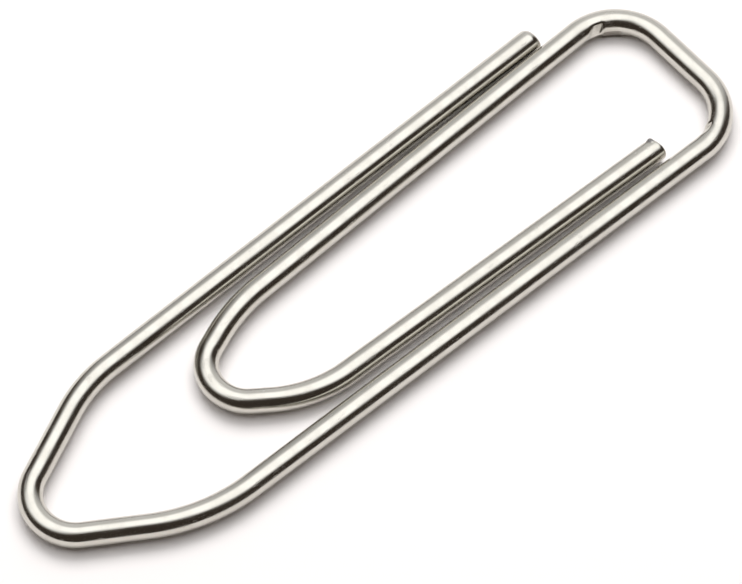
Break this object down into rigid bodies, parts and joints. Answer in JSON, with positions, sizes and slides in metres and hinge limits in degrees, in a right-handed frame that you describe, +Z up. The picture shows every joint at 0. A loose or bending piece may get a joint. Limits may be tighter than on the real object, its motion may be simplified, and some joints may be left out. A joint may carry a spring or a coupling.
{
  "type": "paper clip",
  "caption": "Pointed wire paper clip with a square head: one plated steel wire bent flat into an outer frame and a springy inner tongue that grips sheets between them.",
  "frame": {"origin": "under the middle of the clip's box, on the surface that it lies on", "axes": "+X from the pointed nose to the square head, +Y towards the outer leg, +Z up out of the clip's flat face"},
  "size_m": [0.032, 0.0089, 0.001],
  "materials": {
    "plated_wire": "bright nickel plate on drawn steel wire"
  },
  "bodies": {
    "frame_loop": {"nose_left_side": "plated_wire", "nose_tip_bend": "plated_wire", "nose_right_side": "plated_wire", "right_shoulder_bend": "plated_wire", "long_leg": "plated_wire", "head_right_bend": "plated_wire", "head_bar": "plated_wire"},
    "outer_arm": {"left_shoulder_bend": "plated_wire", "outer_leg": "plated_wire"},
    "tongue_loop": {"head_left_bend": "plated_wire", "tongue_leg": "plated_wire", "tongue_left_shoulder": "plated_wire", "tongue_left_side": "plated_wire", "tongue_tip_bend": "plated_wire", "tongue_right_side": "plated_wire"},
    "inner_arm": {"tongue_right_shoulder": "plated_wire", "inner_leg": "plated_wire"}
  },
  "joints": [
    {"name": "tongue_lift", "type": "hinge", "parent": "frame_loop", "child": "tongue_loop", "pos_m": [0.01553, 0.00076, 0.00047], "axis": [0, 1, 0], "range_deg": [-8, 8], "stiffness_Nm_per_rad": 0.38},
    {"name": "outer_arm_flex", "type": "hinge", "parent": "frame_loop", "child": "outer_arm", "pos_m": [-0.0119, 0.00312, 0.00047], "axis": [-0.9063, -0.4226, 0], "range_deg": [-5, 5], "stiffness_Nm_per_rad": 0.17},
    {"name": "inner_arm_flex", "type": "hinge", "parent": "tongue_loop", "child": "inner_arm", "pos_m": [-0.00601, -0.00139, 0.00047], "axis": [0.8039, -0.5948, 0], "range_deg": [-4, 4], "stiffness_Nm_per_rad": 0.39}
  ]
}
